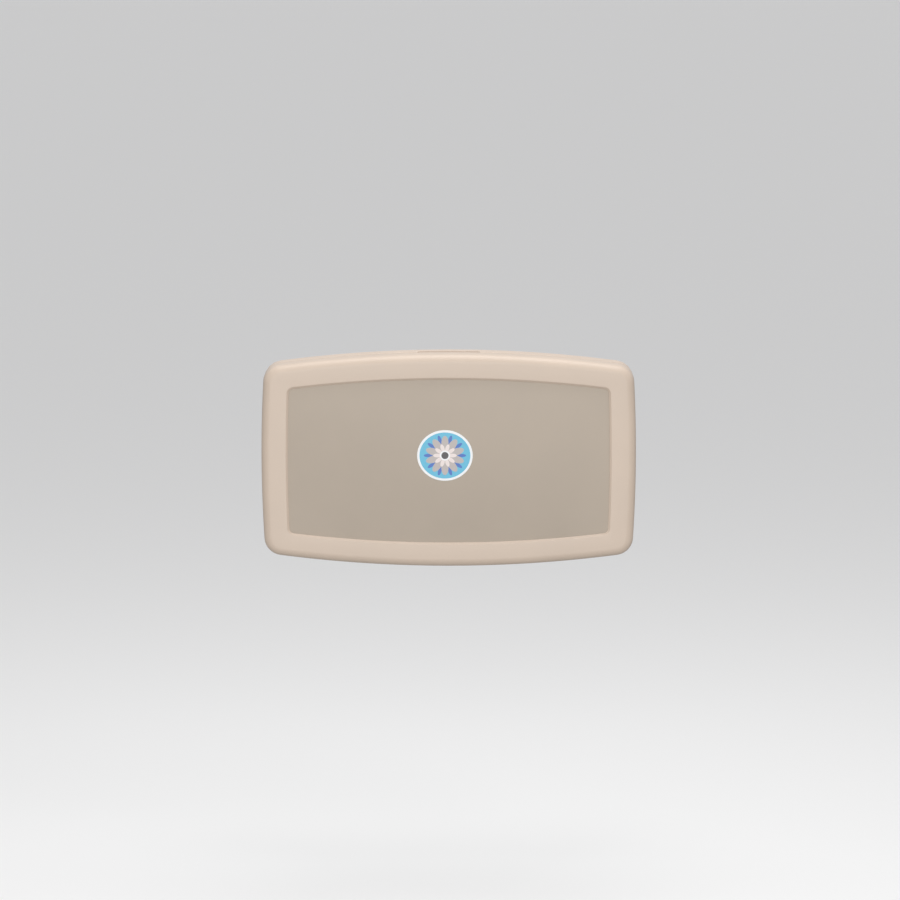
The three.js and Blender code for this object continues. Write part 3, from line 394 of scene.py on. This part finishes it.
connect_finish(tree, shader, group_node(tree, webbing_group, {"Colour": srgb(108, 112, 118)}), 0.6, 0.0004)
print("webbing ready")

# %% [markdown]
# ## The bed's front shell
# The shell is a vacuum-formed or moulded cap: a rounded front edge, a flat rim and a sunk field. Its section
# is walked from the inside of the field, round behind the rim, over the rounded edge and down a drafted wall
# into the field, because an upright step would draw a hard dark line round it.

# %% Front shell
EDGE_ROUND, LEAN, WALL = 20.0, 1.5, 4.0
RECESS_ROUND, RECESS_DRAFT, RECESS_FLOOR = 2.5, 45, 94.7
RECESS_IN, RECESS_FOOT = 0.3, 97.3
LIP_ROUND = 1.2
edge_inset, edge_out = LEAN + EDGE_ROUND, DEPTH - EDGE_ROUND
shell_back = PARTING + SEAT
draft = math.radians(RECESS_DRAFT)
slope_top = DEPTH - RECESS_ROUND * (1 - math.sin(draft))
recess_inset = RECESS_IN - (slope_top - RECESS_FOOT) * math.tan(draft) - RECESS_ROUND * math.cos(draft)
shell = moulding("bed_shell_skin", [
    (PANEL, -WALL, RECESS_FLOOR - WALL),
    (PANEL, -WALL, DEPTH - WALL),
    *round_stations(BODY, edge_inset, edge_out, EDGE_ROUND - WALL, 90, 180, 6),
    (BODY, WALL, shell_back),
    *round_stations(BODY, LIP_ROUND, shell_back + LIP_ROUND, LIP_ROUND, 270, 180, 3),
    *round_stations(BODY, edge_inset, edge_out, EDGE_ROUND, 180, 90, 12),
    *round_stations(PANEL, recess_inset, DEPTH - RECESS_ROUND, RECESS_ROUND, 90, RECESS_DRAFT, 4),
    (PANEL, RECESS_IN, RECESS_FOOT),
    (PANEL, RECESS_IN, RECESS_FLOOR),
])
finish_piece(shell, "bed", sand_plastic, "shell_plastic", "bed_shell")

# %% [markdown]
# The inlay panel is a thin sheet cut to the field with a little clearance. Its front edge is broken by a small
# round, as a cut sheet's edge is.

# %% Inlay panel
PANEL_FRONT, PANEL_GAP = 97.5, 0.35
PANEL_ROUND = 0.3
panel = moulding("front_panel_sheet", [
    (PANEL, PANEL_GAP, RECESS_FLOOR + SEAT),
    *round_stations(PANEL, PANEL_GAP + PANEL_ROUND, PANEL_FRONT - PANEL_ROUND, PANEL_ROUND, 180, 90, 3),
])
finish_piece(panel, "bed", taupe_panel, "panel_plastic", "front_panel")

# %% [markdown]
# ## The oval plaque
# The plaque is a thin printed oval. Here it carries a plain flower in a ring: a flat shape modelled once as a
# petal and copied round the middle. Real edges stay crisp at any distance, where a picture would blur.

# %% Oval plaque
LABEL = {"across": -9.0, "up": 14.0, "width": 132.0, "height": 121.5}
LABEL_BACK, LABEL_THICK = PANEL_FRONT + SEAT, 0.5
PRINT_THICK = 0.06


def disc(name, across, up, out, width, height, thick, sides=96, rise=0.0):
    """An oval plate facing out, its front edge rounded by rise."""
    bpy.ops.object.select_all(action="DESELECT")
    bpy.ops.mesh.primitive_circle_add(vertices=sides, radius=0.5, fill_type="NGON")
    piece = rename(bpy.context.object, name)
    edit(piece)
    bpy.ops.transform.resize(value=(width * MM, height * MM, 1))
    bpy.ops.mesh.extrude_region_move(TRANSFORM_OT_translate={"value": (0, 0, (thick - rise) * MM)})
    if rise:
        bpy.ops.mesh.inset(thickness=rise * MM)
        bpy.ops.transform.translate(value=(0, 0, rise * MM))
    bpy.ops.mesh.select_all(action="SELECT")
    bpy.ops.mesh.normals_make_consistent(inside=False)
    done()
    stand_up = Matrix.Rotation(math.radians(90), 4, "X")
    piece.data.transform(Matrix.Translation(place(across, up, out)) @ stand_up)
    return piece


def print_layer(name, width, height, layer, material, across=0.0, up=0.0):
    """One printed layer on the plaque."""
    out = LABEL_BACK + LABEL_THICK + layer * PRINT_THICK
    mark = disc(name, LABEL["across"] + across, LABEL["up"] + up, out, width, height, PRINT_THICK)
    return finish_piece(mark, "bed", material, "label_plastic")


plaque = disc("label_plaque", LABEL["across"], LABEL["up"], LABEL_BACK, LABEL["width"], LABEL["height"],
              LABEL_THICK, rise=0.3)
finish_piece(plaque, "bed", white_print, "label_plastic", "front_label")
RING = 5.6
print_layer("label_field", LABEL["width"] - 2 * RING, LABEL["height"] - 2 * RING, 0, blue_print)

# %% [markdown]
# Grey petals stand over blue leaves, with paler petals inside and a dark heart. One petal is drawn, then copied
# and turned about the plaque's middle, and the copies are joined into one printed layer.

# %% Flower on the plaque
PETALS = 10


def petal_ring(name, count, reach, length, breadth, layer, material, phase=0.0):
    """A ring of oval petals on the plaque, as one piece."""
    out = LABEL_BACK + LABEL_THICK + layer * PRINT_THICK
    centre = place(LABEL["across"], LABEL["up"], 0)
    petals = []
    for i in range(count):
        petal = disc(f"{name}_{i}", LABEL["across"], LABEL["up"] + reach, out, breadth, length, PRINT_THICK, 32)
        turn = Matrix.Rotation(2 * math.pi * i / count + phase, 4, "Y")
        petal.data.transform(Matrix.Translation(centre) @ turn @ Matrix.Translation(-centre))
        petals.append(petal)
    return finish_piece(join_pieces(petals, name), "bed", material, "label_plastic")


petal_ring("label_leaves", PETALS, 39, 22, 8, 1, deep_print, math.pi / PETALS)
petal_ring("label_petals", PETALS, 29, 36, 17, 2, grey_print)
petal_ring("label_inner_petals", PETALS, 18, 20, 9, 3, rose_print, math.pi / PETALS)
print_layer("label_heart_edge", 24, 24, 4, white_print)
print_layer("label_heart", 17, 17, 5, dark_print)

# %% [markdown]
# ## The concave tray
# When the bed is down, the tray is what a child lies in: a rolled rim and a soft bowl whose sides follow a
# smooth step. It is moulded like the shell, and a groove, two strap slots and a gap for the lever are then
# cut away with Boolean modifiers, because each crosses the rings at its own angle.

# %% Tray
BOWL_DEPTH, BOWL_SLOPE, BOWL_STEPS = 30.0, 110.0, 20
RIM_ROUND = 6.0
HINGE_UP, HINGE_OUT = -212.0, 50.0
GROOVE_RADIUS, GROOVE_HALF = 9.8, 338.6
LEVER_X, LEVER_GAP_HALF, LEVER_GAP_FOOT = 240.0, 6.8, -235.8
SLOT_HALF_WIDTH, SLOT_HALF_HEIGHT = 25.0, 4.0
SLOT_UPS = (171.5, -126.0)


def bowl_depth(inset):
    t = min(max(inset / BOWL_SLOPE, 0.0), 1.0)
    return BOWL_DEPTH * t * t * (3 - 2 * t)


def bowl_stations(base):
    insets = [BOWL_SLOPE * k / BOWL_STEPS for k in range(BOWL_STEPS + 1)]
    return [(BOWL, inset, base + bowl_depth(inset)) for inset in insets]


def box_piece(name, across, up, out):
    """A block between three pairs of limits, in millimetres."""
    low, high = place(across[0], up[0], out[1]), place(across[1], up[1], out[0])
    bpy.ops.object.select_all(action="DESELECT")
    bpy.ops.mesh.primitive_cube_add(size=1)
    piece = rename(bpy.context.object, name)
    edit(piece)
    bpy.ops.transform.resize(value=high - low)
    bpy.ops.transform.translate(value=(low + high) / 2)
    done()
    return piece


def bar_piece(name, radius, across, up, out, sides=48):
    """A round bar along the width."""
    bpy.ops.object.select_all(action="DESELECT")
    bpy.ops.mesh.primitive_cylinder_add(vertices=sides, radius=radius * MM, depth=(across[1] - across[0]) * MM)
    piece = rename(bpy.context.object, name)
    lie_down = Matrix.Rotation(math.radians(90), 4, "Y")
    piece.data.transform(Matrix.Translation(place(sum(across) / 2, up, out)) @ lie_down)
    return piece


def cut_away(piece, *cutters):
    """Cuts other pieces out of a piece and throws them away."""
    for cutter in cutters:
        cut = piece.modifiers.new("cut", "BOOLEAN")
        cut.operation, cut.solver, cut.object = "DIFFERENCE", "EXACT", cutter
        bpy.ops.object.select_all(action="DESELECT")
        bpy.context.view_layer.objects.active = piece
        bpy.ops.object.modifier_apply(modifier=cut.name)
        bpy.data.objects.remove(cutter)
    return piece


tray = moulding("bed_tray_skin", [
    *reversed(bowl_stations(BED_BACK)),
    *round_stations(BODY, RIM_ROUND, BED_BACK + RIM_ROUND, RIM_ROUND, 270, 180, 8),
    (BODY, 0.0, PARTING),
    (BODY, WALL, PARTING),
    (BODY, WALL, BED_BACK + RIM_ROUND),
    (BODY, RIM_ROUND, BED_BACK + WALL),
    *bowl_stations(BED_BACK + WALL),
])
cut_away(
    tray,
    bar_piece("groove", GROOVE_RADIUS, (-GROOVE_HALF, GROOVE_HALF), HINGE_UP, HINGE_OUT),
    box_piece("lever_gap", (LEVER_X - LEVER_GAP_HALF, LEVER_X + LEVER_GAP_HALF), (LEVER_GAP_FOOT, HINGE_UP),
              (BED_BACK - WALL, PARTING + WALL)),
    *[box_piece("slot", (-SLOT_HALF_WIDTH, SLOT_HALF_WIDTH), (up - SLOT_HALF_HEIGHT, up + SLOT_HALF_HEIGHT),
                (BED_BACK, DEPTH)) for up in SLOT_UPS],
)
finish_piece(tray, "bed", sand_plastic, "shell_plastic", "bed_tray")

# %% [markdown]
# ## Safety strap
# Two lengths of webbing come out of the slots, follow the bowl and meet in the buckle. Each is a strip that is
# extruded from point to point along its path and thickened at the end; its UV map runs along the strip, so
# the weave follows every bend.

# %% Webbing strips
STRAP_WIDTH, STRAP_THICK = 45.0, 2.0
BUCKLE_OUT, BUCKLE_END = 68.7, 34.0
STRAP_CLEAR = 0.45
BOWL_TOP, BOWL_FOOT = 211.5, -166.0
SLOT_IN, BUCKLE_RAMP = 40.0, 14.0
BAR_OUTS = (59.7, 58.4, 57.0)


def strap_line(upper):
    """Middle line of a strap half as points (up, out), from its bar to the buckle."""
    sign, mouth = (1, BOWL_TOP) if upper else (-1, -BOWL_FOOT)
    lift = STRAP_THICK / 2 + STRAP_CLEAR
    slot = mouth - SLOT_IN
    line = [(sign * slot, out) for out in BAR_OUTS]
    start = BED_BACK + bowl_depth(SLOT_IN) - lift
    line += [(sign * (slot - 0.2), start + 0.9), (sign * (slot - 0.9), start + 0.35)]
    last = BUCKLE_END + BUCKLE_RAMP
    for i in range(1, 41):
        up = slot + (last - slot) * i / 40
        line.append((sign * up, BED_BACK + bowl_depth(mouth - up) - lift))
    floor_out = line[-1][1]
    for i in range(1, 9):
        t = i / 8
        ease = t * t * (3 - 2 * t)
        line.append((sign * (last - (last - BUCKLE_END - 2.0) * t), floor_out + (BUCKLE_OUT - floor_out) * ease))
    line.append((sign * (BUCKLE_END + 0.4), BUCKLE_OUT))
    return line


def strip_piece(name, line, width, thick):
    """A flat strip of even width extruded along a line, with a UV map in metres, then thickened."""
    bpy.ops.object.select_all(action="DESELECT")
    bpy.ops.mesh.primitive_plane_add(size=1)
    piece = rename(bpy.context.object, name)
    edit(piece)
    bpy.ops.mesh.delete(type="ONLY_FACE")
    bpy.ops.mesh.select_all(action="SELECT")
    bpy.ops.mesh.merge(type="CENTER")
    done()
    columns = [-0.5, -0.25, 0.0, 0.25, 0.5]
    edit(piece)
    for _ in columns[1:]:
        bpy.ops.mesh.extrude_vertices_move()
    bpy.ops.mesh.select_all(action="SELECT")
    done()
    order = list(range(len(columns)))
    rows = [[place(c * width, up, out) for c in columns] for up, out in line]
    move_loop(piece, order, rows[0])
    lengths = {vertex: 0.0 for vertex in order}
    travelled = 0.0
    for before, row in zip(rows, rows[1:]):
        order = extrude_loop(piece, order)
        move_loop(piece, order, row)
        travelled += (row[0] - before[0]).length
        lengths.update({vertex: travelled for vertex in order})
    uv = piece.data.uv_layers.new(name="UVMap")
    for corner in piece.data.loops:
        point = piece.data.vertices[corner.vertex_index].co
        uv.data[corner.index].uv = (point.x, lengths[corner.vertex_index])
    wall = piece.modifiers.new("thickness", "SOLIDIFY")
    wall.thickness, wall.offset = thick * MM, 0.0
    bpy.ops.object.modifier_apply(modifier=wall.name)
    edit(piece)
    bpy.ops.mesh.select_all(action="SELECT")
    bpy.ops.mesh.normals_make_consistent(inside=False)
    done()
    return piece, travelled


for name, upper in (("strap_front", True), ("strap_rear", False)):
    strap, length = strip_piece(f"{name}_webbing", strap_line(upper), STRAP_WIDTH, STRAP_THICK)
    finish_piece(strap, "bed", webbing, "strap_webbing", name)
    print(name, "length", round(length, 3))

# %% [markdown]
# Each half is sewn back on itself beside the buckle. A square with a cross in it is the usual seam. One stitch is a
# short rounded rod; it is added once for every place of the seam and the stitches are joined into one piece.

# %% Stitches beside the buckle
SEAM_START, SEAM_END, SEAM_HALF = 52.0, 76.0, 16.0
STITCH_PITCH, STITCH_LONG, STITCH_RADIUS = 3.0, 2.3, 0.4


def strap_face(upper, up):
    """How far out the strap's open face lies at a height."""
    mouth = BOWL_TOP if upper else -BOWL_FOOT
    return BED_BACK + bowl_depth(mouth - abs(up)) - STRAP_CLEAR - STRAP_THICK


def stitch(start, end):
    """A rounded rod between two points of the frame."""
    along = end - start
    bpy.ops.object.select_all(action="DESELECT")
    bpy.ops.mesh.primitive_uv_sphere_add(segments=8, ring_count=6, radius=STITCH_RADIUS * MM)
    rod = bpy.context.object
    rod.data.transform(Matrix.Scale(along.length / (2 * STITCH_RADIUS * MM), 4, (0, 0, 1)))
    turn = along.to_track_quat("Z", "Y").to_matrix().to_4x4()
    rod.data.transform(Matrix.Translation((start + end) / 2) @ turn)
    return rod


def seam(name, upper):
    """A sewn square with its diagonals on one strap half."""
    sign = 1 if upper else -1
    corners = [(-SEAM_HALF, SEAM_START), (SEAM_HALF, SEAM_START), (SEAM_HALF, SEAM_END), (-SEAM_HALF, SEAM_END)]
    rows = list(zip(corners, corners[1:] + corners[:1])) + [(corners[0], corners[2]), (corners[1], corners[3])]
    rods = []
    for (x0, up0), (x1, up1) in rows:
        length = math.hypot(x1 - x0, up1 - up0)
        count = int(length / STITCH_PITCH)
        for i in range(count):
            ends = []
            for side in (-0.5, 0.5):
                t = (i + 0.5 + side * STITCH_LONG / STITCH_PITCH) / count
                x, up = x0 + (x1 - x0) * t, sign * (up0 + (up1 - up0) * t)
                ends.append(place(x, up, strap_face(upper, up)))
            rods.append(stitch(*ends))
    return finish_piece(join_pieces(rods, name), "bed", pale_thread, "strap_webbing")


pale_thread = plastic("pale_thread", srgb(168, 170, 174), 0.8, 2500.0, 0.4, 0.8)
for name, upper in (("strap_front_stitches", True), ("strap_rear_stitches", False)):
    seam(name, upper)

# %% [markdown]
# ## Pieces that keep their measured shape
# Brackets, leaves, rails and the housing already have the right shape, so each is copied from the frame. The
# copy's loose triangles are merged into plain faces and its edges are broken with a small Bevel modifier, as
# pressed and moulded edges are. A Weighted Normal modifier then keeps the large faces flat.

# %% Softened copies
BEVEL_SEGMENTS, BEVEL_ANGLE = 2, 40


def even_normals(piece):
    """Lets large faces set the shading."""
    even = piece.modifiers.new("even", "WEIGHTED_NORMAL")
    even.keep_sharp = True
    bpy.ops.object.modifier_apply(modifier=even.name)
    return piece


def softened(node, body, material, slot, edge=0.6, cutters=()):
    """A copy of a measured piece with its edges broken, standing for that piece; cutters are cut out of it."""
    piece = bpy.data.objects.new(f"{node}_finish", nodes[node].data.copy())
    bpy.context.scene.collection.objects.link(piece)
    edit(piece)
    bpy.ops.mesh.select_all(action="SELECT")
    bpy.ops.mesh.remove_doubles(threshold=1e-6)
    bpy.ops.mesh.dissolve_limited(angle_limit=math.radians(0.5))
    done()
    if edge:
        bevel = piece.modifiers.new("edge", "BEVEL")
        bevel.width, bevel.segments = edge * MM, BEVEL_SEGMENTS
        bevel.limit_method, bevel.angle_limit = "ANGLE", math.radians(BEVEL_ANGLE)
        bpy.ops.object.modifier_apply(modifier=bevel.name)
    cut_away(piece, *cutters)
    finish_piece(piece, body, material, slot, node)
    return even_normals(piece)


SOFT_PIECES = (
    ("rear_housing", "wall_unit", sand_plastic, "shell_plastic", 0.8),
    ("dispenser_cover", "liner_cover", sand_plastic, "shell_plastic", 0.5),
    ("dispenser_bin", "wall_unit", grey_plastic, "fitting_plastic", 0.8),
    ("cover_rail_left", "wall_unit", grey_plastic, "fitting_plastic", 0.5),
    ("cover_rail_right", "wall_unit", grey_plastic, "fitting_plastic", 0.5),
    ("cover_stop", "wall_unit", grey_plastic, "fitting_plastic", 0.6),
    ("bag_hook_left", "wall_unit", grey_plastic, "fitting_plastic", 1.0),
    ("bag_hook_right", "wall_unit", grey_plastic, "fitting_plastic", 1.0),
    ("buckle_socket", "bed", grey_plastic, "fitting_plastic", 1.2),
    ("buckle_tongue", "bed", grey_plastic, "fitting_plastic", 1.0),
    ("buckle_button", "buckle_button", red_plastic, "button_plastic", 0.8),
    ("wall_plate", "wall_unit", sheet_steel, "sheet_steel", 0.3),
    ("hinge_leaf_wall", "wall_unit", sheet_steel, "sheet_steel", 0.3),
    ("hinge_leaf_bed", "bed", sheet_steel, "sheet_steel", 0.0),
    ("crank_lever", "bed", sheet_steel, "sheet_steel", 0.5),
    ("bed_arm_left", "bed", sheet_steel, "sheet_steel", 0.6),
    ("bed_arm_right", "bed", sheet_steel, "sheet_steel", 0.6),
    ("gas_bracket_upper", "wall_unit", sheet_steel, "sheet_steel", 0.4),
    ("gas_bracket_lower", "wall_unit", sheet_steel, "sheet_steel", 0.4),
    ("plunger_foot", "gas_plunger", sheet_steel, "sheet_steel", 0.0),
    ("gas_cylinder", "wall_unit", black_enamel, "spring_paint", 0.3),
    ("gas_nut", "wall_unit", bright_steel, "bright_steel", 0.4),
    ("gas_rod", "gas_plunger", bright_steel, "bright_steel", 0.3),
    ("hinge_rod", "wall_unit", bright_steel, "bright_steel", 0.4),
    ("rod_cap_left", "wall_unit", bright_steel, "bright_steel", 0.8),
    ("rod_cap_right", "wall_unit", bright_steel, "bright_steel", 0.8),
    ("strap_front_bar", "bed", bright_steel, "bright_steel", 0.6),
    ("strap_rear_bar", "bed", bright_steel, "bright_steel", 0.6),
)
for node, body, material, slot, edge in SOFT_PIECES:
    softened(node, body, material, slot, edge)
for i in range(1, 5):
    softened(f"standoff_{i}", "wall_unit", sheet_steel, "sheet_steel", 0.4)
    softened(f"bumper_{i}", "wall_unit", dull_rubber, "bumper_rubber", 0.0)

# %% [markdown]
# The four housing screws get a cross recess. Two thin blocks, one turned a quarter, are enough for a Boolean cut:
# the real recess is pressed in the same way by a punch.

# %% Cross recesses
SCREW_PLACES = ((-165.0, 140.0), (165.0, 140.0), (-165.0, -90.0), (165.0, -90.0))
HEAD_FRONT, RECESS_DEEP = 46.7, 1.3
CROSS_LONG, CROSS_THIN = 2.6, 0.5
for i, (x, up) in enumerate(SCREW_PLACES, 1):
    deep = (HEAD_FRONT - RECESS_DEEP, HEAD_FRONT + 1)
    bars = [box_piece("cross", (x - w, x + w), (up - h, up + h), deep)
            for w, h in ((CROSS_LONG, CROSS_THIN), (CROSS_THIN, CROSS_LONG))]
    softened(f"housing_screw_{i}", "wall_unit", bright_steel, "bright_steel", 0.2, bars)

# %% [markdown]
# ## Stage
# The photograph looks straight at the station from a little above its middle, from several metres away. A
# long lens keeps the edges parallel, as they are there. The light is broad and comes from above and in front.
# The floor is pale where the camera sees it and darker where it throws light back, so that the rim's underside
# and sides fall off as they do in the photograph.

# %% Camera, floor and light
LENS, DISTANCE, LOOK_DOWN = 151.4, 9.0, 8.5
FLOOR_SIZE, FLOOR_UP = 400, -1.0
FLOOR_SEEN, FLOOR_BOUNCE = (0.88, 0.88, 0.875, 1), (0.36, 0.36, 0.355, 1)
target = Vector((0.003, -0.07, 0.023))
camera_data = bpy.data.cameras.new("camera")
camera_data.lens = LENS
camera = bpy.data.objects.new("camera", camera_data)
bpy.context.scene.collection.objects.link(camera)
tilt = math.radians(LOOK_DOWN)
camera.location = target + DISTANCE * Vector((0, -math.cos(tilt), math.sin(tilt)))
camera.rotation_euler = (math.radians(90) - tilt, 0, 0)
bpy.context.scene.camera = camera

bpy.ops.object.select_all(action="DESELECT")
bpy.ops.mesh.primitive_plane_add(size=FLOOR_SIZE, location=(0, 0, FLOOR_UP))
floor = rename(bpy.context.object, "floor")
floor_paint, tree, shader = new_material("floor_paint")
path = tree.nodes.new("ShaderNodeLightPath")
shade = tree.nodes.new("ShaderNodeMixRGB")
shade.inputs["Color1"].default_value = FLOOR_BOUNCE
shade.inputs["Color2"].default_value = FLOOR_SEEN
tree.links.new(path.outputs["Is Camera Ray"], shade.inputs["Fac"])
tree.links.new(shade.outputs["Color"], shader.inputs["Base Color"])
shader.inputs["Roughness"].default_value = 0.8
floor.data.materials.append(floor_paint)


def soft_light(name, location, aim, size, power):
    """A square area light pointed at a place."""
    data = bpy.data.lights.new(name, "AREA")
    data.size, data.energy = size, power
    lamp = bpy.data.objects.new(name, data)
    bpy.context.scene.collection.objects.link(lamp)
    lamp.location = location
    lamp.rotation_euler = (Vector(aim) - Vector(location)).to_track_quat("-Z", "Y").to_euler()
    return lamp


soft_light("ceiling_light", (0.2, 0.2, 3.2), (0, 0, 0), 2.4, 55)
soft_light("right_light", (1.5, -1.9, 2.2), (0.1, 0, 0.1), 0.7, 4)
soft_light("front_fill", (-0.2, -5.0, 0.4), (0, 0, 0), 3.0, 112)
world = bpy.data.worlds.new("studio")
world.use_nodes = True
world.node_tree.nodes["Background"].inputs["Color"].default_value = (0.95, 0.95, 0.96, 1)
world.node_tree.nodes["Background"].inputs["Strength"].default_value = 0.7
bpy.context.scene.world = world
bpy.context.scene.view_settings.view_transform = "Standard"
